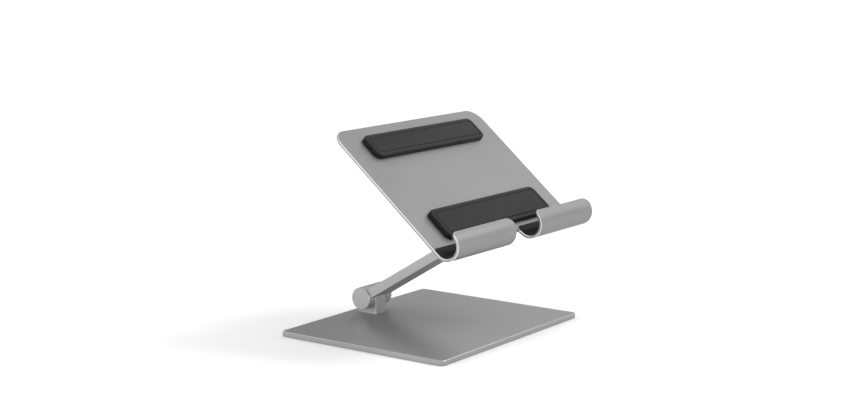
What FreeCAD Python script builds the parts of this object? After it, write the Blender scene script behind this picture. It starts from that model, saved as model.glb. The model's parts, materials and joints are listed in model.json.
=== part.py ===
import FreeCAD, Part
import os

import Sketcher

# Tablet stand with two friction hinges, in millimetres.
#
# Frame: the origin is on the surface the stand rests on, under the middle of the base plate.
# +X is to the right of the person at the tablet, -Y is towards that person and +Z is up.
#
# Three groups of pieces share three places. The base stays in the stand's own frame. The arm is drawn
# folded flat, running to -Y from the lower hinge's axis, and is then turned up about that axis.
# The tray is drawn about the upper hinge's axis, with Y up the tray and Z out of the tablet's screen.

SIZES = [
    ("plate_width", 170.0, "base plate, side to side"),
    ("plate_depth", 140.0, "base plate, front to back"),
    ("plate_thickness", 3.5, "base plate"),
    ("plate_corner", 3.0, "radius of the base plate's corners"),
    ("plate_bevel", 0.5, "bright bevel round the plate's top edge"),
    ("mat_inset", 6.0, "from the plate's edge to the mat"),
    ("mat_recess", 1.0, "depth of the mat's pocket"),
    ("mat_proud", 0.3, "how far the mat stands below the plate"),
    ("mat_corner", 6.0, "radius of the mat's corners"),
    ("mat_gap", 0.1, "round the mat in its pocket"),
    ("mat_edge", 0.2, "broken lower edge of the mat"),
    ("hinge_back", 54.6, "lower hinge's axis, behind the plate's middle"),
    ("hinge_rise", 12.0, "from the plate, or the tray's back, to the hinge axis"),
    ("knuckle_radius", 8.25, "round of every hinge knuckle"),
    ("knuckle_width", 12.0, "middle knuckle, along the axis"),
    ("knuckle_bevel", 0.3, "broken edges of the middle knuckle"),
    ("washer_thickness", 0.4, "friction washer"),
    ("washer_radius", 7.0, "friction washer"),
    ("washer_play", 0.05, "from a friction washer to its cheek"),
    ("bush_radius", 3.5, "outside of the hinge bush"),
    ("bush_play", 0.02, "bush in its bore"),
    ("bolt_radius", 2.5, "hinge bolt's shank"),
    ("bolt_play", 0.03, "bolt in the bush, and in its thread"),
    ("bolt_clearance", 0.1, "bolt in the right cheek, the washers and the springs"),
    ("bolt_skin", 0.9, "left cheek's metal outside the blind thread"),
    ("bolt_end_gap", 0.4, "from the bolt's end to the end of its thread"),
    ("head_radius", 4.6, "hinge bolt's head"),
    ("head_height", 2.7, "hinge bolt's head"),
    ("head_crown", 0.6, "bevel round the hinge bolt's head"),
    ("bolt_point", 0.5, "bevel of the hinge bolt's end"),
    ("head_play", 0.02, "between the springs, and to the head"),
    ("hex_radius", 1.73, "hinge bolt's hexagon, to its corners"),
    ("hex_depth", 1.5, "hinge bolt's hexagon"),
    ("spring_radius", 4.9, "disc spring"),
    ("spring_thickness", 0.5, "disc spring"),
    ("spring_cone", 0.2, "height of a disc spring's cone"),
    ("cap_radius", 5.2, "counterbore and cap over the bolt's head"),
    ("cap_thickness", 1.1, "cap over the bolt's head"),
    ("cap_play", 0.03, "cap in the counterbore"),
    ("counterbore", 5.3, "depth of the counterbore"),
    ("arm_length", 114.3, "from axis to axis"),
    ("arm_width", 24.5, "flat bar, side to side"),
    ("arm_thickness", 6.9, "flat bar"),
    ("arm_bevel", 0.35, "broken edges of the flat bar"),
    ("barrel_width", 27.1, "round ends of the arm, along their axes"),
    ("barrel_bevel", 0.4, "broken edges of the arm's round ends"),
    ("slot_reach", 8.75, "from a hinge axis to the bottom of the fork's slot"),
    ("arm_elevation", 31.3, "arm above level, in degrees"),
    ("tray_tilt", 39.8, "tray above level, in degrees"),
    ("tray_width", 170.0, "side to side"),
    ("tray_rise", 97.0, "from the upper hinge's axis to the tray's top edge"),
    ("tray_corner", 12.0, "radius of the tray's top corners"),
    ("sheet", 2.0, "thickness of the tray's sheet"),
    ("sheet_bevel", 0.35, "bright bevel of the sheet's edges"),
    ("hook_drop", 18.3, "from the upper hinge's axis down to the middle of the hooks' bend"),
    ("hook_radius", 10.5, "outside of the hooks' bend"),
    ("hook_gap", 31.0, "between the hooks"),
    ("hook_lip", 2.9, "straight end of a hook, above the middle of its bend"),
    ("hook_corner", 5.5, "radius of the hooks' lip corners"),
    ("gap_rise", 2.5, "edge between the hooks, above the middle of the bend"),
    ("gap_corner", 3.0, "radius of the gap's inner corners"),
    ("liner_thickness", 1.2, "silicone inside a hook"),
    ("liner_inset", 1.5, "from a hook's sides and lip to its liner"),
    ("liner_leg", 5.0, "liner's leg up the tray's face"),
    ("glue", 0.03, "adhesive under the mat, the pads and the liners"),
    ("pad_thickness", 4.0, "back pads"),
    ("pad_width", 128.0, "back pads, side to side"),
    ("pad_corner", 5.0, "radius of the pads' corners"),
    ("pad_round", 0.8, "rounded front edge of the pads"),
    ("lower_pad_bottom", -9.5, "lower pad's bottom edge, from the axis"),
    ("lower_pad_top", 15.5, "lower pad's top edge, from the axis"),
    ("upper_pad_bottom", 67.0, "upper pad's bottom edge, from the axis"),
    ("upper_pad_top", 87.0, "upper pad's top edge, from the axis"),
    ("screw_radius", 1.5, "fixing screws"),
    ("screw_length", 8.0, "fixing screws, from the head's top"),
    ("screw_spacing", 8.8, "between a knuckle's two screws"),
    ("screw_play", 0.05, "screw in its thread, and its head in the countersink"),
    ("screw_clearance", 0.15, "screw in the plate or the sheet"),
    ("screw_head_radius", 2.9, "countersunk head"),
    ("screw_head_height", 1.4, "countersunk head"),
    ("screw_hex_radius", 1.15, "hexagon of a fixing screw, to its corners"),
    ("screw_hex_depth", 0.9, "hexagon of a fixing screw"),
    ("thread_depth", 6.9, "threaded holes in a knuckle's foot"),
    ("cut_margin", 1.0, "how far a cutting shape reaches past what it cuts"),
]

doc = FreeCAD.newDocument("tablet_stand")
sheet = doc.addObject("Spreadsheet::Sheet", "dims")
for row, (alias, amount, meaning) in enumerate(SIZES, start=1):
    sheet.set(f"A{row}", meaning)
    sheet.set(f"B{row}", str(amount))
    sheet.setAlias(f"B{row}", alias)
doc.recompute()

# Lengths that follow from the sheet, as expressions.
HALF_KNUCKLE = "dims.knuckle_width / 2"
HALF_BARREL = "dims.barrel_width / 2"
PLATE_TOP = "(dims.mat_proud + dims.plate_thickness)"
AXIS_HEIGHT = "(dims.mat_proud + dims.plate_thickness + dims.hinge_rise)"
CHEEK_INSIDE = "(dims.knuckle_width / 2 + dims.washer_thickness + dims.washer_play)"
COUNTERBORE_FLOOR = "(dims.barrel_width / 2 - dims.counterbore)"
SPRING_HEIGHT = "(dims.spring_thickness + dims.spring_cone)"
HEAD_SEAT = f"({COUNTERBORE_FLOOR} + 2 * {SPRING_HEIGHT} + 2 * dims.head_play)"
THREAD_END = "(dims.bolt_skin - dims.barrel_width / 2)"
TRAY_BACK = "dims.hinge_rise"
TRAY_FACE = "(dims.hinge_rise + dims.sheet)"
BEND_MIDDLE = "(dims.hinge_rise + dims.hook_radius)"
BEND_INSIDE = "(dims.hook_radius - dims.sheet)"
BEND_HEIGHT = "-dims.hook_drop"
LIP_TOP = "(dims.hook_lip - dims.hook_drop)"

# The three places: each is a point on a hinge axis, or the origin, and a turn about X.
TRAY_AXIS_Y = "dims.hinge_back - dims.arm_length * cos(dims.arm_elevation)"
TRAY_AXIS_Z = f"{AXIS_HEIGHT} + dims.arm_length * sin(dims.arm_elevation)"


def place(y, z, turn):
    """An expression for a place in the middle plane, turned about X by an angle in degrees."""
    return f"placement(vector(0; {y}; {z}); rotation(vector(1; 0; 0); {turn}))"


ON_BASE = place("0", "0", "0")
ON_BASE_HINGE = place("dims.hinge_back", AXIS_HEIGHT, "0")
ON_ARM = place("dims.hinge_back", AXIS_HEIGHT, "-dims.arm_elevation")
ON_TRAY = place(TRAY_AXIS_Y, TRAY_AXIS_Z, "dims.tray_tilt")
ON_TRAY_BACK = place(TRAY_AXIS_Y, TRAY_AXIS_Z, "dims.tray_tilt + 180")

SHARP_ANGLE = 0.5  # radians between two faces, above which their edge gets a bevel
pieces = []


def number(expression):
    """The value of an expression, for drawing a sketch before its constraints hold it."""
    return float(sheet.evalExpression(expression))


def keep(piece, label, where):
    """Names a finished piece, binds its place and puts it on the list to write."""
    piece.Label = label
    piece.setExpression("Placement", where)
    pieces.append(piece)
    return piece


def new_body(name):
    return doc.addObject("PartDesign::Body", name + "_body")


def new_sketch(body, name, plane, offset="0"):
    """A sketch on one of the body's own origin planes, moved along that plane's normal."""
    sketch = body.newObject("Sketcher::SketchObject", name)
    support = [feature for feature in body.Origin.OriginFeatures if feature.Role == plane]
    sketch.AttachmentSupport = [(support[0], "")]
    sketch.MapMode = "FlatFace"
    sketch.setExpression(".AttachmentOffset.Base.z", offset)
    return sketch


def hold(sketch, kind, geometry, point, expression):
    """One coordinate of a sketch point, bound to an expression."""
    index = sketch.addConstraint(Sketcher.Constraint(kind, geometry, point, number(expression)))
    sketch.setExpression(f"Constraints[{index}]", expression)


def polygon(sketch, corners):
    """A closed outline with straight sides through corners, each a pair of expressions."""
    points = [FreeCAD.Vector(number(x), number(y), 0) for x, y in corners]
    first = sketch.GeometryCount
    count = len(points)
    for side in range(count):
        sketch.addGeometry(Part.LineSegment(points[side], points[(side + 1) % count]), False)
    for side in range(count):
        following = first + (side + 1) % count
        sketch.addConstraint(Sketcher.Constraint("Coincident", first + side, 2, following, 1))
    for side, (x, y) in enumerate(corners):
        hold(sketch, "DistanceX", first + side, 1, x)
        hold(sketch, "DistanceY", first + side, 1, y)


def rectangle(sketch, left, bottom, right, top):
    polygon(sketch, [(left, bottom), (right, bottom), (right, top), (left, top)])


def circle(sketch, x, y, radius):
    centre = FreeCAD.Vector(number(x), number(y), 0)
    index = sketch.addGeometry(Part.Circle(centre, FreeCAD.Vector(0, 0, 1), number(radius)), False)
    hold(sketch, "DistanceX", index, 3, x)
    hold(sketch, "DistanceY", index, 3, y)
    constraint = sketch.addConstraint(Sketcher.Constraint("Radius", index, number(radius)))
    sketch.setExpression(f"Constraints[{constraint}]", radius)


def check_change(feature, before, grows):
    """Stops if a feature changed nothing, as a cut that points away from the solid does."""
    change = feature.Shape.Volume - before
    if (change <= 0) if grows else (change >= 0):
        raise RuntimeError(f"{feature.Name} changed the volume by {change}")


def extrude(body, sketch, length, kind="PartDesign::Pad", both_ways=False, backwards=False):
    """Pads or pockets a sketch, and makes sure that the solid grew or shrank."""
    before = body.Shape.Volume if body.Tip else 0.0
    feature = body.newObject(kind, sketch.Name + "_" + kind.split("::")[1].lower())
    feature.Profile = sketch
    feature.SideType = "Symmetric" if both_ways else "One side"
    feature.Reversed = backwards
    feature.setExpression("Length", length)
    body.Tip = feature
    doc.recompute()
    check_change(feature, before, kind == "PartDesign::Pad")
    return feature


def pad(body, sketch, length, both_ways=False, backwards=False):
    return extrude(body, sketch, length, "PartDesign::Pad", both_ways, backwards)


def pocket(body, sketch, length, both_ways=False, backwards=False):
    return extrude(body, sketch, length, "PartDesign::Pocket", both_ways, backwards)


def edges_where(shape, test):
    """Names of the edges whose two ends, or whose middle on a circle, all pass a test."""
    names = []
    for index, edge in enumerate(shape.Edges, start=1):
        points = [vertex.Point for vertex in edge.Vertexes]
        points.append(edge.valueAt((edge.FirstParameter + edge.LastParameter) / 2))
        if all(test(point) for point in points):
            names.append(f"Edge{index}")
    return names


def sharp_edges(shape):
    """Names of the edges where two faces meet at an angle, and not smoothly."""
    names = []
    for index, edge in enumerate(shape.Edges, start=1):
        middle = edge.valueAt((edge.FirstParameter + edge.LastParameter) / 2)
        normals = []
        for face in shape.ancestorsOfType(edge, Part.Face):
            u, v = face.Surface.parameter(middle)
            normals.append(face.normalAt(u, v))
        if len(normals) == 2 and normals[0].getAngle(normals[1]) > SHARP_ANGLE:
            names.append(f"Edge{index}")
    return names


def dress(body, kind, name, size_property, size, names):
    """A fillet or a chamfer on named edges of the body's tip."""
    base = body.Tip
    if not names:
        raise RuntimeError(f"{name} found no edges")
    feature = body.newObject(kind, name)
    feature.Base = (base, names)
    feature.setExpression(size_property, size)
    body.Tip = feature
    doc.recompute()
    return feature


def fillet(body, name, radius, test):
    names = edges_where(body.Tip.Shape, test)
    return dress(body, "PartDesign::Fillet", name, "Radius", radius, names)


def chamfer(body, name, size, test):
    names = edges_where(body.Tip.Shape, test)
    return dress(body, "PartDesign::Chamfer", name, "Size", size, names)


def near(a, b, tolerance=0.001):
    return abs(a - b) < tolerance


def revolve_about_x(body, sketch):
    feature = body.newObject("PartDesign::Revolution", sketch.Name + "_revolution")
    feature.Profile = sketch
    axis = [item for item in body.Origin.OriginFeatures if item.Role == "X_Axis"]
    feature.ReferenceAxis = (axis[0], [""])
    feature.Angle = 360
    body.Tip = feature
    doc.recompute()
    return feature


def primitive(kind, name, where, **lengths):
    """One of the Part workbench's simple solids, with its place and sizes bound to expressions."""
    item = doc.addObject(kind, name)
    for length, expression in lengths.items():
        item.setExpression(length, expression)
    item.setExpression("Placement", where)
    return item


def screw_places():
    """The two screws of a knuckle, front and back of its axis."""
    return [("front", "-dims.screw_spacing / 2"), ("back", "dims.screw_spacing / 2")]


# ---------------------------------------------------------------- base


def make_base_plate():
    """Flat plate with a pocket underneath for the mat and two countersunk holes for the post."""
    body = new_body("base_plate")
    outline = new_sketch(body, "plate_outline", "XY_Plane", "dims.mat_proud")
    half_width = "dims.plate_width / 2"
    half_depth = "dims.plate_depth / 2"
    rectangle(outline, f"-{half_width}", f"-{half_depth}", half_width, half_depth)
    pad(body, outline, "dims.plate_thickness")

    side = number(half_width)
    end = number(half_depth)
    fillet(body, "plate_corners", "dims.plate_corner",
           lambda point: near(abs(point.x), side) and near(abs(point.y), end))

    recess = new_sketch(body, "mat_recess", "XY_Plane", "dims.mat_proud")
    mat_outline(recess, "0")
    pocket(body, recess, "dims.mat_recess", backwards=True)
    inner_side = side - number("dims.mat_inset")
    inner_end = end - number("dims.mat_inset")
    fillet(body, "recess_corners", "dims.mat_corner",
           lambda point: near(abs(point.x), inner_side) and near(abs(point.y), inner_end))

    top = number(PLATE_TOP)
    chamfer(body, "plate_top_bevel", "dims.plate_bevel", lambda point: near(point.z, top))

    holes = new_sketch(body, "post_screw_holes", "XY_Plane", "dims.mat_proud")
    for _, along in screw_places():
        circle(holes, "0", f"dims.hinge_back + {along}", "dims.screw_radius + dims.screw_clearance")
    pocket(body, holes, "dims.plate_thickness", backwards=True)
    countersinks(body, "dims.mat_proud + dims.mat_recess", "Z", "dims.hinge_back")
    return keep(body, "base_plate", ON_BASE)


def countersinks(body, mouth, axis, middle):
    """Two countersinks whose wide mouths are at height mouth, cut along axis, Z or -Z."""
    start = "(dims.screw_head_radius + dims.screw_play)"
    end = "(dims.screw_radius + dims.screw_play)"
    turn = "rotation(vector(1; 0; 0); 0)" if axis == "Z" else "rotation(vector(1; 0; 0); 180)"
    for name, along in screw_places():
        before = body.Shape.Volume
        cone = body.newObject("PartDesign::SubtractiveCone", f"countersink_{name}")
        cone.setExpression("Radius1", start)
        cone.setExpression("Radius2", end)
        cone.setExpression("Height", "dims.screw_head_height")
        cone.setExpression("Placement", f"placement(vector(0; {middle} + {along}; {mouth}); {turn})")
        body.Tip = cone
        doc.recompute()
        check_change(cone, before, False)


def mat_outline(sketch, gap):
    """The mat's rectangle, smaller by a gap all round."""
    x = f"(dims.plate_width / 2 - dims.mat_inset - {gap})"
    y = f"(dims.plate_depth / 2 - dims.mat_inset - {gap})"
    rectangle(sketch, f"-{x}", f"-{y}", x, y)


def make_base_mat():
    """Non-slip silicone mat, held in the plate's pocket by adhesive."""
    body = new_body("base_mat")
    outline = new_sketch(body, "mat_outline", "XY_Plane")
    mat_outline(outline, "dims.mat_gap")
    pad(body, outline, "dims.mat_proud + dims.mat_recess - dims.glue")
    side = number("dims.plate_width / 2 - dims.mat_inset - dims.mat_gap")
    end = number("dims.plate_depth / 2 - dims.mat_inset - dims.mat_gap")
    fillet(body, "mat_corners", "dims.mat_corner",
           lambda point: near(abs(point.x), side) and near(abs(point.y), end))
    chamfer(body, "mat_lower_edge", "dims.mat_edge", lambda point: near(point.z, 0))
    return keep(body, "base_mat", ON_BASE)


def make_knuckle(label, where):
    """Square block with a round end, bored across for the bush and threaded in its foot."""
    body = new_body(label)
    block = new_sketch(body, label + "_block", "YZ_Plane")
    rectangle(block, "-dims.knuckle_radius", "-dims.hinge_rise", "dims.knuckle_radius", "0")
    pad(body, block, "dims.knuckle_width", both_ways=True)
    nose = new_sketch(body, label + "_nose", "YZ_Plane")
    circle(nose, "0", "0", "dims.knuckle_radius")
    pad(body, nose, "dims.knuckle_width", both_ways=True)

    side = number(HALF_KNUCKLE)
    edge_of_foot = number("dims.knuckle_radius")
    foot = -number("dims.hinge_rise")
    chamfer(body, label + "_edges", "dims.knuckle_bevel",
            lambda point: near(abs(point.x), side)
            and (not near(point.z, foot) or near(abs(point.y), edge_of_foot)))

    bore = new_sketch(body, label + "_bore", "YZ_Plane")
    circle(bore, "0", "0", "dims.bush_radius")
    pocket(body, bore, "dims.knuckle_width", both_ways=True)

    threads = new_sketch(body, label + "_threads", "XY_Plane", "-dims.hinge_rise")
    for _, along in screw_places():
        circle(threads, "0", along, "dims.screw_radius + dims.screw_play")
    pocket(body, threads, "dims.thread_depth", backwards=True)
    return keep(body, label, where)


def make_screws(label, where):
    """Two countersunk screws running to +Z, with the tops of their heads at height 0."""
    screws = []
    for name, along in screw_places():
        spot = place(along, "0", "0")
        head = primitive("Part::Cone", f"{label}_{name}_head", spot, Radius1="dims.screw_head_radius",
                         Radius2="dims.screw_radius", Height="dims.screw_head_height")
        shank = primitive("Part::Cylinder", f"{label}_{name}_shank", spot, Radius="dims.screw_radius",
                          Height="dims.screw_length")
        drive = primitive("Part::Prism", f"{label}_{name}_drive", spot,
                          Circumradius="dims.screw_hex_radius", Height="dims.screw_hex_depth")
        drive.Polygon = 6
        joined = doc.addObject("Part::Fuse", f"{label}_{name}_joined")
        joined.Base = head
        joined.Tool = shank
        screw = doc.addObject("Part::Cut", f"{label}_{name}")
        screw.Base = joined
        screw.Tool = drive
        screws.append(screw)
    pair = doc.addObject("Part::Compound", label + "_pair")
    pair.Links = screws
    return keep(pair, label, where)


# ---------------------------------------------------------------- hinge hardware


def make_bush(label, where):
    """Plain sleeve in the knuckle's bore, on which the bolt turns."""
    body = new_body(label)
    ring = new_sketch(body, label + "_ring", "YZ_Plane")
    circle(ring, "0", "0", "dims.bush_radius - dims.bush_play")
    circle(ring, "0", "0", "dims.bolt_radius + dims.bolt_play")
    pad(body, ring, "dims.knuckle_width", both_ways=True)
    return keep(body, label, where)


def make_washers(label, where):
    """The two friction washers, one against each side of the knuckle."""
    for side, inner, backwards in (("left", f"-{HALF_KNUCKLE}", True), ("right", HALF_KNUCKLE, False)):
        name = f"{label}_{side}"
        body = new_body(name)
        ring = new_sketch(body, name + "_ring", "YZ_Plane", inner)
        circle(ring, "0", "0", "dims.washer_radius")
        circle(ring, "0", "0", "dims.bolt_radius + dims.bolt_clearance")
        pad(body, ring, "dims.washer_thickness", backwards=backwards)
        keep(body, name, where)


def make_bolt(label, where):
    """Low-head bolt from the right cheek through the bush into the left cheek's blind thread."""
    body = new_body(label)
    half = new_sketch(body, label + "_half", "XY_Plane")
    tip = f"({THREAD_END} + dims.bolt_end_gap)"
    top = f"({HEAD_SEAT} + dims.head_height)"
    polygon(half, [
        (tip, "0"),
        (tip, "dims.bolt_radius - dims.bolt_point"),
        (f"{tip} + dims.bolt_point", "dims.bolt_radius"),
        (HEAD_SEAT, "dims.bolt_radius"),
        (HEAD_SEAT, "dims.head_radius"),
        (f"{top} - dims.head_crown", "dims.head_radius"),
        (top, "dims.head_radius - dims.head_crown"),
        (top, "0"),
    ])
    revolve_about_x(body, half)
    before = body.Shape.Volume
    drive = body.newObject("PartDesign::SubtractivePrism", label + "_drive")
    drive.Polygon = 6
    drive.setExpression("Circumradius", "dims.hex_radius")
    drive.setExpression("Height", "dims.hex_depth")
    drive.setExpression("Placement", f"placement(vector({top}; 0; 0); rotation(vector(0; 1; 0); -90))")
    body.Tip = drive
    doc.recompute()
    check_change(drive, before, False)
    return keep(body, label, where)


def make_springs(label, where):
    """Two disc springs, cone to cone, between the counterbore's floor and the bolt's head."""
    discs = []
    inner = "(dims.bolt_radius + dims.bolt_clearance)"
    for name, floor, rim, eye in (
        ("inner_disc", COUNTERBORE_FLOOR, "0", "dims.spring_cone"),
        ("outer_disc", f"({COUNTERBORE_FLOOR} + {SPRING_HEIGHT} + dims.head_play)", "dims.spring_cone", "0"),
    ):
        body = new_body(f"{label}_{name}")
        half = new_sketch(body, f"{label}_{name}_half", "XY_Plane")
        polygon(half, [
            (f"{floor} + {eye}", inner),
            (f"{floor} + {rim}", "dims.spring_radius"),
            (f"{floor} + {rim} + dims.spring_thickness", "dims.spring_radius"),
            (f"{floor} + {eye} + dims.spring_thickness", inner),
        ])
        revolve_about_x(body, half)
        discs.append(body)
    pair = doc.addObject("Part::Compound", label + "_pair")
    pair.Links = discs
    return keep(pair, label, where)


def make_cap(label, where):
    """Round cover in the mouth of the counterbore, flush with the cheek."""
    body = new_body(label)
    disc = new_sketch(body, label + "_disc", "YZ_Plane", HALF_BARREL)
    circle(disc, "0", "0", "dims.cap_radius - dims.cap_play")
    pad(body, disc, "dims.cap_thickness", backwards=True)
    outside = number(HALF_BARREL)
    chamfer(body, label + "_edge", "dims.barrel_bevel / 2", lambda point: near(point.x, outside))
    return keep(body, label, where)


def make_hinge(stem, on_knuckle, on_arm):
    """Everything that a hinge holds: its bush and washers stay with the knuckle."""
    make_bush(stem + "_bush", on_knuckle)
    make_washers(stem + "_washer", on_knuckle)
    make_bolt(stem + "_bolt", on_arm)
    make_springs(stem + "_springs", on_arm)
    make_cap(stem + "_cap", on_arm)


# ---------------------------------------------------------------- arm


def make_arm():
    """Flat bar with a round, wider fork at each end."""
    body = new_body("arm")
    flat = new_sketch(body, "arm_bar", "YZ_Plane")
    rectangle(flat, "-dims.arm_length", "-dims.arm_thickness / 2", "0", "dims.arm_thickness / 2")
    pad(body, flat, "dims.arm_width", both_ways=True)
    bar_side = number("dims.arm_width / 2")
    bar_face = number("dims.arm_thickness / 2")
    chamfer(body, "bar_edges", "dims.arm_bevel",
            lambda point: near(abs(point.x), bar_side) and near(abs(point.z), bar_face))

    # Each end: its name, its axis, and where its slot starts and stops.
    ends = [
        ("lower", "0", "-dims.slot_reach", "dims.knuckle_radius + dims.cut_margin"),
        ("upper", "-dims.arm_length", "-dims.arm_length - dims.knuckle_radius - dims.cut_margin",
         "dims.slot_reach - dims.arm_length"),
    ]
    for name, axis, _, _ in ends:
        barrel = new_sketch(body, f"{name}_barrel", "YZ_Plane")
        circle(barrel, axis, "0", "dims.knuckle_radius")
        pad(body, barrel, "dims.barrel_width", both_ways=True)
    barrel_side = number(HALF_BARREL)
    chamfer(body, "barrel_edges", "dims.barrel_bevel", lambda point: near(abs(point.x), barrel_side))

    for name, axis, slot_start, slot_stop in ends:
        slot = new_sketch(body, f"{name}_slot", "XY_Plane")
        rectangle(slot, f"-{CHEEK_INSIDE}", slot_start, CHEEK_INSIDE, slot_stop)
        pocket(body, slot, "2 * dims.knuckle_radius + 2 * dims.cut_margin", both_ways=True)

        hole = new_sketch(body, f"{name}_hole", "YZ_Plane", HALF_BARREL)
        circle(hole, axis, "0", "dims.bolt_radius + dims.bolt_clearance")
        pocket(body, hole, HALF_BARREL)
        seat = new_sketch(body, f"{name}_seat", "YZ_Plane", HALF_BARREL)
        circle(seat, axis, "0", "dims.cap_radius")
        pocket(body, seat, "dims.counterbore")
        thread = new_sketch(body, f"{name}_thread", "YZ_Plane", THREAD_END)
        circle(thread, axis, "0", "dims.bolt_radius + dims.bolt_play")
        pocket(body, thread, f"-{THREAD_END}", backwards=True)
    return keep(body, "arm", ON_ARM)


# ---------------------------------------------------------------- tray


def make_tray_panel():
    """One sheet, bent round at its bottom into two hooks with a gap between them."""
    body = new_body("tray_panel")
    back = new_sketch(body, "tray_sheet", "YZ_Plane")
    rectangle(back, BEND_HEIGHT, TRAY_BACK, "dims.tray_rise", TRAY_FACE)
    pad(body, back, "dims.tray_width", both_ways=True)
    bend = new_sketch(body, "hook_bend", "YZ_Plane")
    circle(bend, BEND_HEIGHT, BEND_MIDDLE, "dims.hook_radius")
    circle(bend, BEND_HEIGHT, BEND_MIDDLE, BEND_INSIDE)
    pad(body, bend, "dims.tray_width", both_ways=True)
    above = new_sketch(body, "bend_opening", "YZ_Plane")
    rectangle(above, BEND_HEIGHT, TRAY_FACE, f"{BEND_HEIGHT} + dims.hook_radius + dims.cut_margin",
              f"{BEND_MIDDLE} + dims.hook_radius + dims.cut_margin")
    pocket(body, above, "dims.tray_width + 2 * dims.cut_margin", both_ways=True)
    lip = new_sketch(body, "hook_lip", "YZ_Plane")
    rectangle(lip, BEND_HEIGHT, f"{BEND_MIDDLE} + {BEND_INSIDE}", LIP_TOP,
              f"{BEND_MIDDLE} + dims.hook_radius")
    pad(body, lip, "dims.tray_width", both_ways=True)

    # The gap is cut square to the tray: low in the sheet behind, and all of the lip in front.
    for name, height, top in (
        ("gap_behind", TRAY_BACK, f"{BEND_HEIGHT} + dims.gap_rise"),
        ("gap_in_front", BEND_MIDDLE, f"{LIP_TOP} + dims.cut_margin"),
    ):
        middle = new_sketch(body, name, "XY_Plane", height)
        rectangle(middle, "-dims.hook_gap / 2", f"{BEND_HEIGHT} - dims.hook_radius - dims.cut_margin",
                  "dims.hook_gap / 2", top)
        pocket(body, middle, "2 * dims.hook_radius + 2 * dims.cut_margin", backwards=True)

    outer = number("dims.tray_width / 2")
    inner = number("dims.hook_gap / 2")
    lip_top = number(LIP_TOP)
    sheet_top = number("dims.tray_rise")
    gap_top = number(f"{BEND_HEIGHT} + dims.gap_rise")
    face = number(TRAY_FACE)
    fillet(body, "hook_corners", "dims.hook_corner",
           lambda point: near(point.y, lip_top) and point.z > face + 1
           and (near(abs(point.x), outer) or near(abs(point.x), inner)))
    fillet(body, "tray_corners", "dims.tray_corner",
           lambda point: near(point.y, sheet_top) and near(abs(point.x), outer))
    fillet(body, "gap_corners", "dims.gap_corner",
           lambda point: near(point.y, gap_top) and near(abs(point.x), inner) and point.z < face + 1)

    dress(body, "PartDesign::Chamfer", "sheet_edges", "Size", "dims.sheet_bevel",
          sharp_edges(body.Tip.Shape))

    holes = new_sketch(body, "lug_screw_holes", "XY_Plane", TRAY_FACE)
    for _, along in screw_places():
        circle(holes, "0", along, "dims.screw_radius + dims.screw_clearance")
    pocket(body, holes, "dims.sheet")
    countersinks(body, TRAY_FACE, "-Z", "0")
    return keep(body, "tray_panel", ON_TRAY)


def make_pad(label, bottom, top):
    """Soft block on the tray's face, with rounded corners and a rounded front edge."""
    body = new_body(label)
    outline = new_sketch(body, label + "_outline", "XY_Plane", f"{TRAY_FACE} + dims.glue")
    rectangle(outline, "-dims.pad_width / 2", bottom, "dims.pad_width / 2", top)
    pad(body, outline, "dims.pad_thickness")
    side = number("dims.pad_width / 2")
    ends = (number(bottom), number(top))
    fillet(body, label + "_corners", "dims.pad_corner",
           lambda point: near(abs(point.x), side) and (near(point.y, ends[0]) or near(point.y, ends[1])))
    front = number(f"{TRAY_FACE} + dims.glue + dims.pad_thickness")
    fillet(body, label + "_front", "dims.pad_round", lambda point: near(point.z, front))
    return keep(body, label, ON_TRAY)


def make_liner(label, side):
    """Soft channel inside one hook: a leg on the tray's face, the bend and a leg inside the lip."""
    body = new_body(label)
    outside = f"({BEND_INSIDE} - dims.glue)"
    inside = f"({BEND_INSIDE} - dims.glue - dims.liner_thickness)"
    near_edge = "(dims.hook_gap / 2 + dims.liner_inset)"
    length = "(dims.tray_width / 2 - dims.hook_gap / 2 - 2 * dims.liner_inset)"
    start = near_edge if side > 0 else f"-{near_edge}"

    def layer(name):
        return new_sketch(body, f"{label}_{name}", "YZ_Plane", start)

    bend = layer("bend")
    circle(bend, BEND_HEIGHT, BEND_MIDDLE, outside)
    circle(bend, BEND_HEIGHT, BEND_MIDDLE, inside)
    pad(body, bend, length, backwards=side < 0)
    above = layer("opening")
    rectangle(above, BEND_HEIGHT, TRAY_BACK, f"{BEND_HEIGHT} + dims.hook_radius",
              f"{BEND_MIDDLE} + dims.hook_radius")
    pocket(body, above, length, backwards=side > 0)
    back_leg = layer("back_leg")
    rectangle(back_leg, BEND_HEIGHT, f"{BEND_MIDDLE} - {outside}", f"{BEND_HEIGHT} + dims.liner_leg",
              f"{BEND_MIDDLE} - {inside}")
    pad(body, back_leg, length, backwards=side < 0)
    lip_leg = layer("lip_leg")
    rectangle(lip_leg, BEND_HEIGHT, f"{BEND_MIDDLE} + {inside}", f"{LIP_TOP} - dims.liner_inset / 2",
              f"{BEND_MIDDLE} + {outside}")
    pad(body, lip_leg, length, backwards=side < 0)
    return keep(body, label, ON_TRAY)


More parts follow.
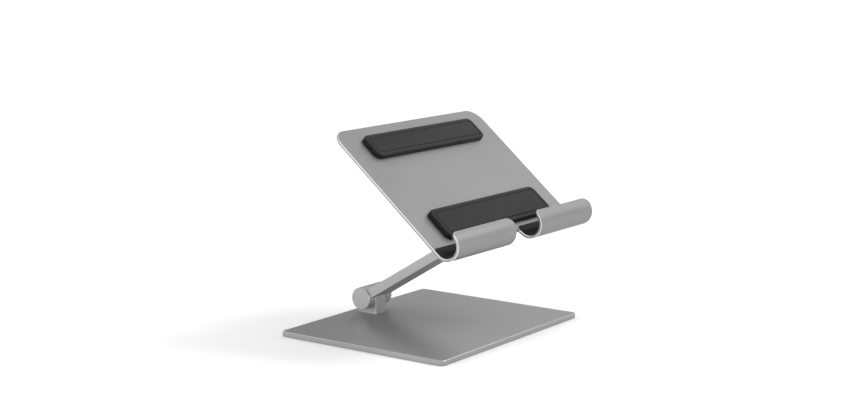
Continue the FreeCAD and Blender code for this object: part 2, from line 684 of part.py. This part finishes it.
make_base_plate()
make_base_mat()
make_knuckle("base_post", ON_BASE_HINGE)
make_screws("base_post_screws", place("dims.hinge_back", "dims.mat_proud + dims.mat_recess", "0"))
make_hinge("base_hinge", ON_BASE_HINGE, ON_ARM)
make_arm()
ON_UPPER_FORK = place(TRAY_AXIS_Y, TRAY_AXIS_Z, "-dims.arm_elevation")
make_hinge("tray_hinge", ON_TRAY, ON_UPPER_FORK)
make_knuckle("tray_lug", ON_TRAY_BACK)
TRAY_SCREW_Y = f"{TRAY_AXIS_Y} - {TRAY_FACE} * sin(dims.tray_tilt)"
TRAY_SCREW_Z = f"{TRAY_AXIS_Z} + {TRAY_FACE} * cos(dims.tray_tilt)"
make_screws("tray_lug_screws", place(TRAY_SCREW_Y, TRAY_SCREW_Z, "dims.tray_tilt + 180"))
make_tray_panel()
make_pad("lower_back_pad", "dims.lower_pad_bottom", "dims.lower_pad_top")
make_pad("upper_back_pad", "dims.upper_pad_bottom", "dims.upper_pad_top")
make_liner("hook_liner_left", -1)
make_liner("hook_liner_right", 1)

doc.recompute()

for item in doc.Objects:
    if "Invalid" in item.State or "Error" in item.State:
        raise RuntimeError(f"{item.Name} failed: {item.State}")
os.makedirs("parts", exist_ok=True)
for piece in pieces:
    shape = piece.Shape
    if shape.isNull() or not shape.isValid() or not shape.Solids:
        raise RuntimeError(f"{piece.Label} has no valid solid")
    shape.exportStep(f"parts/{piece.Label}.step")
    print(f"{piece.Label}: {len(shape.Solids)} solid(s), {shape.Volume:.1f} mm3")
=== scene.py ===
import json
import math

import bmesh
import bpy
from mathutils import Matrix, Vector


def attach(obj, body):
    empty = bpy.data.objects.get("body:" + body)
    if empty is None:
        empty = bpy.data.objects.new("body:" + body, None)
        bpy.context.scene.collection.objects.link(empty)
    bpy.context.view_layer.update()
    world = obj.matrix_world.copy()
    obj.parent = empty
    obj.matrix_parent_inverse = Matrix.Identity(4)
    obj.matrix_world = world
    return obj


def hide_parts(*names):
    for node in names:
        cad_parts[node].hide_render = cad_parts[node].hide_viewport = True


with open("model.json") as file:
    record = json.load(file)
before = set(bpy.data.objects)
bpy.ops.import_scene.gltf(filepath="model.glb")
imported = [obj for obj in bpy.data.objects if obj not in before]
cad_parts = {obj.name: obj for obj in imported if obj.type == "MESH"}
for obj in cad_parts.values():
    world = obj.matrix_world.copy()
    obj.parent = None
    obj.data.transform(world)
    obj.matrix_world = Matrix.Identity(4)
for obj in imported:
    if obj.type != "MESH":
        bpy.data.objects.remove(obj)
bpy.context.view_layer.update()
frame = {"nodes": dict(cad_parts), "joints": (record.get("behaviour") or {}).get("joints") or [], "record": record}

MM = 0.001

# ---------------------------------------------------------------- places, read from the frame

joints = {joint["name"]: joint for joint in frame["joints"]}
mounts = {mount["name"]: mount for mount in frame["record"]["mounts"]}

# The tray's own axes, from the upper hinge's axis: X to the right, Y up the tray, Z out of its face.
tray_centre = Vector(joints["tray_hinge"]["pos_m"])
tray_out = Vector(mounts["tablet_rest"]["axis"]).normalized()
tray_tilt = math.atan2(-tray_out.y, tray_out.z)
TRAY = Matrix.Translation(tray_centre) @ Matrix.Rotation(tray_tilt, 4, "X")


def extent(node, axes=Matrix.Identity(4)):
    """Lowest and highest corner of a CAD node, measured along the given axes."""
    back = axes.inverted()
    points = [back @ vertex.co for vertex in frame["nodes"][node].data.vertices]
    low = Vector([min(point[k] for point in points) for k in range(3)])
    high = Vector([max(point[k] for point in points) for k in range(3)])
    return low, high


# A hook's liner is a round channel, so its box gives the middle and the radius of the hooks' bend.
liner_low, liner_high = extent("hook_liner_left", TRAY)
liner_radius = (liner_high.z - liner_low.z) / 2
bend_up = liner_low.y + liner_radius
bend_out = (liner_high.z + liner_low.z) / 2

# ---------------------------------------------------------------- node trees


class Tree:
    """A material's node tree, with one short method for each kind of node used here."""

    def __init__(self, name):
        self.material = bpy.data.materials.new(name)
        self.material.use_nodes = True
        self.nodes = self.material.node_tree.nodes
        self.links = self.material.node_tree.links
        self.nodes.clear()
        self.coordinates = self.nodes.new("ShaderNodeTexCoord")

    def add(self, kind, inputs, output=0, **settings):
        """A node with its settings, and its inputs given as values or as other nodes' outputs."""
        node = self.nodes.new(kind)
        for setting, value in settings.items():
            setattr(node, setting, value)
        for socket, value in inputs.items():
            if isinstance(value, bpy.types.NodeSocket):
                self.links.new(value, node.inputs[socket])
            else:
                node.inputs[socket].default_value = value
        return node.outputs[output]

    def place(self):
        return self.coordinates.outputs["Object"]

    def normal(self):
        return self.coordinates.outputs["Normal"]

    def math(self, operation, *values):
        return self.add("ShaderNodeMath", dict(enumerate(values)), operation=operation)

    def vector(self, operation, *values, output=0):
        return self.add("ShaderNodeVectorMath", dict(enumerate(values)), output, operation=operation)

    def noise(self, size, detail=2.0, vector=None):
        """Noise whose features are about size metres across."""
        inputs = {"Vector": vector or self.place(), "Scale": 1 / size, "Detail": detail}
        return self.add("ShaderNodeTexNoise", inputs, "Fac")

    def fit(self, value, low, high, to_low=0.0, to_high=1.0):
        """Moves a value's range from low..high to to_low..to_high."""
        inputs = {"Value": value, 1: low, 2: high, 3: to_low, 4: to_high}
        return self.add("ShaderNodeMapRange", inputs)

    def mix(self, share, first, second):
        """Between two numbers."""
        return self.add("ShaderNodeMix", {0: share, 2: first, 3: second}, data_type="FLOAT")

    def mix_colour(self, share, first, second):
        inputs = {0: share, 6: first, 7: second}
        return self.add("ShaderNodeMix", inputs, 2, data_type="RGBA")

    def surface(self, **inputs):
        """The material's one Principled shader. An input's name has _ for a space."""
        shader = self.nodes.new("ShaderNodeBsdfPrincipled")
        for socket, value in inputs.items():
            target = shader.inputs[socket.replace("_", " ")]
            if isinstance(value, bpy.types.NodeSocket):
                self.links.new(value, target)
            else:
                target.default_value = value
        output = self.nodes.new("ShaderNodeOutputMaterial")
        self.links.new(shader.outputs[0], output.inputs[0])
        return self.material


def grey(level, warmth=0.0):
    """A colour of a given linear level, warmer above 0 and cooler below."""
    return (level * (1 + warmth), level, level * (1 - warmth), 1)


# Most of a noise's values lie in these spans, a wide one and a narrow one.
NOISE_SPAN = (0.3, 0.7)
CLOUD_SPAN = (0.35, 0.65)
# A normal's share of a direction that it is about 45 degrees from.
BEVEL_SPAN = (0.5, 0.9)


def band(tree, value, low, high, soft=0.04):
    """1 where the value lies between low and high, and 0 elsewhere."""
    rise = tree.fit(value, low - soft, low + soft)
    fall = tree.fit(value, high - soft, high + soft, 1, 0)
    return tree.math("MULTIPLY", rise, fall)


def anodised(name, level, roughness, metallic=0.7, cut_faces=None, cut_level=0.6, cut_roughness=0.25):
    """Fine-blasted, silver-anodised aluminium. cut_faces gives 1 on faces cut bright after anodising."""
    tree = Tree(name)
    grain = tree.noise(0.35 * MM, 3)
    cloud = tree.noise(22 * MM, 2)
    drift = tree.fit(cloud, *CLOUD_SPAN, -0.015, 0.015)
    tone = tree.math("ADD", tree.fit(grain, *NOISE_SPAN, 0.955, 1.045), drift)
    tones = tree.add("ShaderNodeCombineXYZ", {0: tone, 1: tone, 2: tone})
    satin = tree.vector("MULTIPLY", grey(level)[:3], tones)
    rough = tree.math("ADD", tree.fit(grain, *NOISE_SPAN, roughness - 0.03, roughness + 0.03), drift)
    cut = cut_faces(tree) if cut_faces else 0.0
    height = tree.mix(cut, grain, 0.5)
    bump = tree.add("ShaderNodeBump", {"Height": height, "Strength": 0.25, "Distance": 0.02 * MM})
    return tree.surface(
        Base_Color=tree.mix_colour(cut, satin, grey(cut_level)),
        Metallic=tree.mix(cut, metallic, 1.0),
        Roughness=tree.mix(cut, rough, cut_roughness),
        Specular_IOR_Level=0.3,
        Specular_Tint=grey(0.6),
        Normal=bump,
    )


def plate_bevel(tree):
    """The bright bevel round the plate's top edge faces up at 45 degrees."""
    return band(tree, tree.add("ShaderNodeSeparateXYZ", {0: tree.normal()}, 2), *BEVEL_SPAN)


def sheet_bevels(tree):
    """The bright bevels of the bent sheet's edges, at 45 degrees to its face, which turns round the bend."""
    turn = (tray_tilt, 0, 0)
    place = tree.add("ShaderNodeMapping", {"Vector": tree.place(), "Location": tray_centre, "Rotation": turn},
                     vector_type="TEXTURE")
    normal = tree.add("ShaderNodeMapping", {"Vector": tree.normal(), "Rotation": turn}, vector_type="TEXTURE")
    up = tree.add("ShaderNodeSeparateXYZ", {0: place}, 1)
    out = tree.add("ShaderNodeSeparateXYZ", {0: place}, 2)
    below = tree.math("MINIMUM", tree.math("SUBTRACT", up, bend_up), 0.0)
    across = tree.math("SUBTRACT", out, bend_out)
    face = tree.vector("NORMALIZE", tree.add("ShaderNodeCombineXYZ", {0: 0.0, 1: below, 2: across}))
    tilt = tree.math("ABSOLUTE", tree.vector("DOT_PRODUCT", normal, face, output="Value"))
    return band(tree, tilt, *BEVEL_SPAN)


def silicone(name, level, roughness, grain_size):
    """Matt black silicone rubber with a fine moulded grain and a faint cloudiness."""
    tree = Tree(name)
    grain = tree.noise(grain_size, 3)
    cloud = tree.noise(9 * MM, 2)
    colour = tree.mix_colour(tree.fit(cloud, *NOISE_SPAN), grey(level * 0.85), grey(level * 1.2))
    rough = tree.math("ADD", tree.fit(grain, *NOISE_SPAN, roughness - 0.06, roughness + 0.06),
                      tree.fit(cloud, *NOISE_SPAN, -0.03, 0.03))
    bump = tree.add("ShaderNodeBump", {"Height": grain, "Strength": 0.35, "Distance": 0.05 * MM})
    return tree.surface(Base_Color=colour, Roughness=rough, Normal=bump, Specular_IOR_Level=0.25)


def zinc_steel(name):
    """Zinc-plated steel, with a mottled plating."""
    tree = Tree(name)
    mottle = tree.noise(1.2 * MM, 4)
    colour = tree.mix_colour(tree.fit(mottle, *NOISE_SPAN), grey(0.42, -0.02), grey(0.58, -0.01))
    rough = tree.fit(mottle, *NOISE_SPAN, 0.24, 0.38)
    bump = tree.add("ShaderNodeBump", {"Height": mottle, "Strength": 0.15, "Distance": 0.02 * MM})
    return tree.surface(Base_Color=colour, Metallic=1.0, Roughness=rough, Normal=bump)


def acetal(name):
    """Dark grey acetal, the plain bearing plastic of the bushes and washers."""
    tree = Tree(name)
    grain = tree.noise(0.5 * MM, 3)
    colour = tree.mix_colour(tree.fit(grain, *NOISE_SPAN), grey(0.018), grey(0.03))
    rough = tree.fit(grain, *NOISE_SPAN, 0.36, 0.46)
    bump = tree.add("ShaderNodeBump", {"Height": grain, "Strength": 0.15, "Distance": 0.02 * MM})
    return tree.surface(Base_Color=colour, Roughness=rough, Normal=bump)


def studio_paper(name):
    """White paper sweep under the stand, with a faint tooth."""
    tree = Tree(name)
    tooth = tree.noise(1.5 * MM, 4)
    colour = tree.mix_colour(tree.fit(tooth, *NOISE_SPAN), grey(0.86), grey(0.9))
    bump = tree.add("ShaderNodeBump", {"Height": tooth, "Strength": 0.05, "Distance": 0.05 * MM})
    return tree.surface(Base_Color=colour, Roughness=0.9, Specular_IOR_Level=0.1, Normal=bump)


# ---------------------------------------------------------------- finishes of the CAD pieces

finishes = {
    "plate_aluminium": anodised("plate_aluminium", 0.31, 0.36, metallic=0.6, cut_faces=plate_bevel,
                                cut_level=0.42, cut_roughness=0.34),
    "tray_aluminium": anodised("tray_aluminium", 0.27, 0.42, cut_faces=sheet_bevels, cut_level=0.85),
    "hinge_aluminium": anodised("hinge_aluminium", 0.355, 0.42, metallic=0.6),
    "pad_silicone": silicone("pad_silicone", 0.011, 0.6, 0.4 * MM),
    "mat_silicone": silicone("mat_silicone", 0.014, 0.7, 0.6 * MM),
    "fastener_steel": zinc_steel("fastener_steel"),
    "bearing_polymer": acetal("bearing_polymer"),
}


def finish_nodes():
    """Gives every CAD node the finish of its slot in the record."""
    for part in frame["record"]["subparts"]:
        for slot in frame["nodes"][part["node"]].material_slots:
            slot.material = finishes[part["material_slot"]]


# ---------------------------------------------------------------- moulded silicone pieces
#
# These stand for the CAD's plain soft solids, and keep to their boxes.


SHARP_ANGLE = math.radians(32)


def rounded_rectangle(half_x, half_y, radius, steps=8):
    """Points round a rectangle with rounded corners, counter-clockwise from above."""
    points = []
    for corner, (side, end) in enumerate(((1, 1), (-1, 1), (-1, -1), (1, -1))):
        for step in range(steps + 1):
            angle = math.pi / 2 * (corner + step / steps)
            points.append((side * (half_x - radius) + radius * math.cos(angle),
                           end * (half_y - radius) + radius * math.sin(angle)))
    return points


def loft(name, rings, channel=False):
    """A closed mesh through rings of as many points each, capped at both ends.

    A channel's rings run along its outside and back along its inside. Its caps are strips between the two.
    """
    form = bmesh.new()
    rows = [[form.verts.new(point) for point in ring] for ring in rings]
    count = len(rows[0])
    for lower, upper in zip(rows, rows[1:]):
        for k in range(count):
            form.faces.new((lower[k], lower[(k + 1) % count], upper[(k + 1) % count], upper[k]))
    for cap in (rows[0], rows[-1]):
        if channel:
            for k in range(count // 2 - 1):
                form.faces.new((cap[k], cap[k + 1], cap[-k - 2], cap[-k - 1]))
        else:
            form.faces.new(cap)
    bmesh.ops.recalc_face_normals(form, faces=form.faces)
    mesh = bpy.data.meshes.new(name)
    form.to_mesh(mesh)
    form.free()
    mesh.shade_smooth()
    mesh.set_sharp_from_angle(angle=SHARP_ANGLE)
    return bpy.data.objects.new(name, mesh)


def stand_for(piece, node, body):
    """Shows a detailed piece in a CAD node's place, with the finish of that node's slot."""
    slot = next(part["material_slot"] for part in frame["record"]["subparts"] if part["node"] == node)
    piece.data.materials.append(finishes[slot])
    bpy.context.scene.collection.objects.link(piece)
    bpy.context.view_layer.update()
    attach(piece, body)
    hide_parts(node)


# Each step of a moulded profile, in mm: how far in from the outline, and how far out from the back.
PAD_PROFILE = [(0.25, 0.0), (0.0, 0.3), (0.0, 2.9), (0.12, 3.4), (0.45, 3.8), (1.0, 4.0), (2.6, 4.0),
               (2.8, 3.95), (3.0, 3.7), (3.3, 3.5), (3.6, 3.7), (3.8, 3.95), (4.0, 4.0)]
MAT_PROFILE = [(0.0, 0.0), (0.0, 1.05), (0.2, 1.27), (3.0, 1.27), (3.15, 1.1), (3.4, 1.02), (3.65, 1.1),
               (3.8, 1.27)]

PAD_CORNER = 5 * MM
MAT_CORNER = 6 * MM
LEAST_CORNER = 1 * MM


def moulded_slab(name, low, high, radius, profile, axes, upside_down=False):
    """A slab between two corners, given along axes. Its moulded face is on top, or below."""
    middle = (low + high) / 2
    half = (high - low) / 2
    full_rise = profile[-1][1]
    rings = []
    for inset, rise in profile:
        share = rise / full_rise
        height = high.z - share * 2 * half.z if upside_down else low.z + share * 2 * half.z
        corner = max(radius - inset * MM, LEAST_CORNER)
        outline = rounded_rectangle(half.x - inset * MM, half.y - inset * MM, corner)
        rings.append([axes @ Vector((middle.x + x, middle.y + y, height)) for x, y in outline])
    return loft(name, rings)


def make_back_pads():
    for node in ("lower_back_pad", "upper_back_pad"):
        low, high = extent(node, TRAY)
        piece = moulded_slab(node + "_moulded", low, high, PAD_CORNER, PAD_PROFILE, TRAY)
        stand_for(piece, node, "tray")


def make_base_mat():
    low, high = extent("base_mat")
    piece = moulded_slab("base_mat_moulded", low, high, MAT_CORNER, MAT_PROFILE, Matrix.Identity(4),
                         upside_down=True)
    stand_for(piece, "base_mat", "base")


LINER_THICKNESS = 1.2 * MM
LIP_LEG = 2.15 * MM
BACK_LEG_STEPS = 5
BEND_STEPS = 72
LIP_LEG_STEPS = 2
RIB_DEPTH = 0.3 * MM
EDGE_ROUND = 0.35 * MM
# How a liner's two ends are rounded: how far along the hook, and how much its skin is drawn in there.
END_PROFILE = [(0.0, EDGE_ROUND), (0.12 * MM, 0.12 * MM), (EDGE_ROUND, 0.0)]


def liner_path(back_leg):
    """The line along a liner's outside, down the tray's face, round the bend and up inside the lip.

    Each point has its place out of the tray and up it, from the middle of the bend, and the way it faces.
    """
    path = []
    for step in range(BACK_LEG_STEPS):
        path.append((-liner_radius, back_leg * (1 - step / BACK_LEG_STEPS), -1.0, 0.0))
    for step in range(BEND_STEPS + 1):
        angle = math.pi * (1 + step / BEND_STEPS)
        face_out = math.cos(angle)
        face_up = math.sin(angle)
        path.append((liner_radius * face_out, liner_radius * face_up, face_out, face_up))
    for step in range(1, LIP_LEG_STEPS + 1):
        path.append((liner_radius, LIP_LEG * step / LIP_LEG_STEPS, 1.0, 0.0))
    return path


def liner_section(path, x, shrink):
    """A liner's outline at x, with its skin drawn in by shrink. Ribs run along the inside of the bend."""
    outside = []
    inside = []
    last = len(path) - 1
    for index, (out, up, face_out, face_up) in enumerate(path):
        in_bend = BACK_LEG_STEPS + 1 < index < last - 2 * LIP_LEG_STEPS
        rib = RIB_DEPTH if in_bend and index % 4 in (0, 1) else 0.0
        end = EDGE_ROUND if index in (0, last) else 0.0
        for depth, points in ((shrink + end, outside), (LINER_THICKNESS - rib - shrink - end, inside)):
            point_up = bend_up + up - face_up * depth
            point_out = bend_out + out - face_out * depth
            points.append(TRAY @ Vector((x, point_up, point_out)))
    return outside + inside[::-1]


def make_hook_liner(node):
    """A channel that lines a hook, with fine ribs along its inside and rounded ends."""
    low, high = extent(node, TRAY)
    path = liner_path(high.y - bend_up)
    rings = [liner_section(path, low.x + along, shrink) for along, shrink in END_PROFILE]
    rings += [liner_section(path, high.x - along, shrink) for along, shrink in reversed(END_PROFILE)]
    stand_for(loft(node + "_moulded", rings, channel=True), node, "tray")


# ---------------------------------------------------------------- studio

FLOOR_RADIUS = 9.0
FLOOR_GAP = 0.05 * MM
CAMERA_PLACE = (-0.9757, -0.7011, 0.2965)
CAMERA_HEADING = -54.23
CAMERA_PITCH = -9.80
LENS = 71.7
LAMPS_FACE = Vector((0, 0, 0.06))
KEY_FROM = Vector((0.46, -0.60, 0.65))
KEY_WIDTH = math.radians(24)
KEY_POWER = 1.25
POST_LIGHT_PLACE = Vector((-0.57, -0.52, 0.06))
POST_LIGHT_FACES = Vector((0.003, 0.048, 0.008))
POST_LIGHT_CONE = math.radians(3)
POST_LIGHT_RADIUS = 0.015
POST_LIGHT_POWER = 12.0
# Each soft box: its name, its place, its width and its power.
SOFTBOXES = [
    ("right_softbox", (0.6, 0.28, 0.42), 0.4, 0.5),
    ("left_softbox", (-1.4, 0.85, 0.2), 0.5, 5),
    ("back_softbox", (-0.3, 1.2, 0.5), 0.8, 4),
    ("front_softbox", (0.6, -1.3, 0.25), 0.9, 2),
    ("lip_softbox", (0.95, -0.25, 0.78), 0.25, 0.45),
]


def make_floor():
    mesh = bpy.data.meshes.new("floor")
    form = bmesh.new()
    bmesh.ops.create_circle(form, cap_ends=True, segments=96, radius=FLOOR_RADIUS)
    form.to_mesh(mesh)
    form.free()
    mesh.materials.append(studio_paper("studio_paper"))
    floor = bpy.data.objects.new("floor", mesh)
    floor.location.z = -FLOOR_GAP
    bpy.context.scene.collection.objects.link(floor)


def hang_lamp(data, place, faces):
    """Puts a lamp in its place, turned to the point that it faces. The camera sees its light and not it."""
    lamp = bpy.data.objects.new(data.name, data)
    lamp.location = place
    lamp.rotation_euler = (faces - place).to_track_quat("-Z", "Y").to_euler()
    lamp.visible_camera = False
    bpy.context.scene.collection.objects.link(lamp)


def make_softbox(name, place, size, power):
    """A round soft box that faces the stand."""
    data = bpy.data.lights.new(name, "AREA")
    data.shape = "DISK"
    data.size = size
    data.energy = power
    hang_lamp(data, Vector(place), LAMPS_FACE)


def make_post_light():
    """A small low spot from the left, on the post and the lower hinge, which are in the tray's shade."""
    data = bpy.data.lights.new("post_light", "SPOT")
    data.spot_size = POST_LIGHT_CONE
    data.spot_blend = 0.6
    data.shadow_soft_size = POST_LIGHT_RADIUS
    data.energy = POST_LIGHT_POWER
    hang_lamp(data, POST_LIGHT_PLACE, POST_LIGHT_FACES)


def make_key():
    """The main light: large and far away, from the right and in front, so that the whole floor gets it."""
    data = bpy.data.lights.new("key", "SUN")
    data.angle = KEY_WIDTH
    data.energy = KEY_POWER
    lamp = bpy.data.objects.new("key", data)
    lamp.rotation_euler = KEY_FROM.to_track_quat("Z", "Y").to_euler()
    bpy.context.scene.collection.objects.link(lamp)


# The studio's walls and ceiling: brightness by the height that a ray leaves at, from level to straight up.
SKY = [(0.0, 0.72), (0.22, 0.72), (0.45, 0.82), (0.7, 0.94), (1.0, 1.02)]
# The walls are brighter on the camera's side.
BRIGHT_SIDE = (-0.75, -0.66, 0.0)
SIDE_CONTRAST = 0.45


def make_world():
    """Grey walls light the stand, and what shows past the floor is plain white."""
    world = bpy.data.worlds.new("studio")
    world.use_nodes = True
    nodes = world.node_tree.nodes
    links = world.node_tree.links
    nodes.clear()
    coordinates = nodes.new("ShaderNodeTexCoord")
    split = nodes.new("ShaderNodeSeparateXYZ")
    ramp = nodes.new("ShaderNodeValToRGB")
    towards = nodes.new("ShaderNodeVectorMath")
    towards.operation = "DOT_PRODUCT"
    towards.inputs[1].default_value = BRIGHT_SIDE
    side = nodes.new("ShaderNodeMath")
    side.operation = "MULTIPLY_ADD"
    side.inputs[1].default_value = SIDE_CONTRAST
    side.inputs[2].default_value = 1.0
    walls = nodes.new("ShaderNodeBackground")
    backdrop = nodes.new("ShaderNodeBackground")
    backdrop.inputs[0].default_value = grey(1.0)
    seen = nodes.new("ShaderNodeLightPath")
    choice = nodes.new("ShaderNodeMixShader")
    output = nodes.new("ShaderNodeOutputWorld")
    links.new(coordinates.outputs["Generated"], split.inputs[0])
    links.new(split.outputs[2], ramp.inputs[0])
    links.new(coordinates.outputs["Generated"], towards.inputs[0])
    links.new(towards.outputs["Value"], side.inputs[0])
    links.new(ramp.outputs[0], walls.inputs[0])
    links.new(side.outputs[0], walls.inputs[1])
    links.new(seen.outputs["Is Camera Ray"], choice.inputs[0])
    links.new(walls.outputs[0], choice.inputs[1])
    links.new(backdrop.outputs[0], choice.inputs[2])
    links.new(choice.outputs[0], output.inputs[0])
    stops = ramp.color_ramp.elements
    while len(stops) < len(SKY):
        stops.new(0.5)
    for stop, (height, level) in zip(stops, SKY):
        stop.position = height
        stop.color = grey(level)
    bpy.context.scene.world = world


def make_camera():
    data = bpy.data.cameras.new("camera")
    data.lens = LENS
    data.sensor_width = 36
    data.clip_end = 50
    camera = bpy.data.objects.new("camera", data)
    camera.location = CAMERA_PLACE
    camera.rotation_euler = (math.radians(90 + CAMERA_PITCH), 0, math.radians(CAMERA_HEADING))
    bpy.context.scene.collection.objects.link(camera)
    bpy.context.scene.camera = camera


finish_nodes()
make_back_pads()
make_base_mat()
make_hook_liner("hook_liner_left")
make_hook_liner("hook_liner_right")
make_camera()
make_world()
make_floor()
make_key()
make_post_light()
for softbox in SOFTBOXES:
    make_softbox(*softbox)
bpy.context.scene.view_settings.view_transform = "Standard"
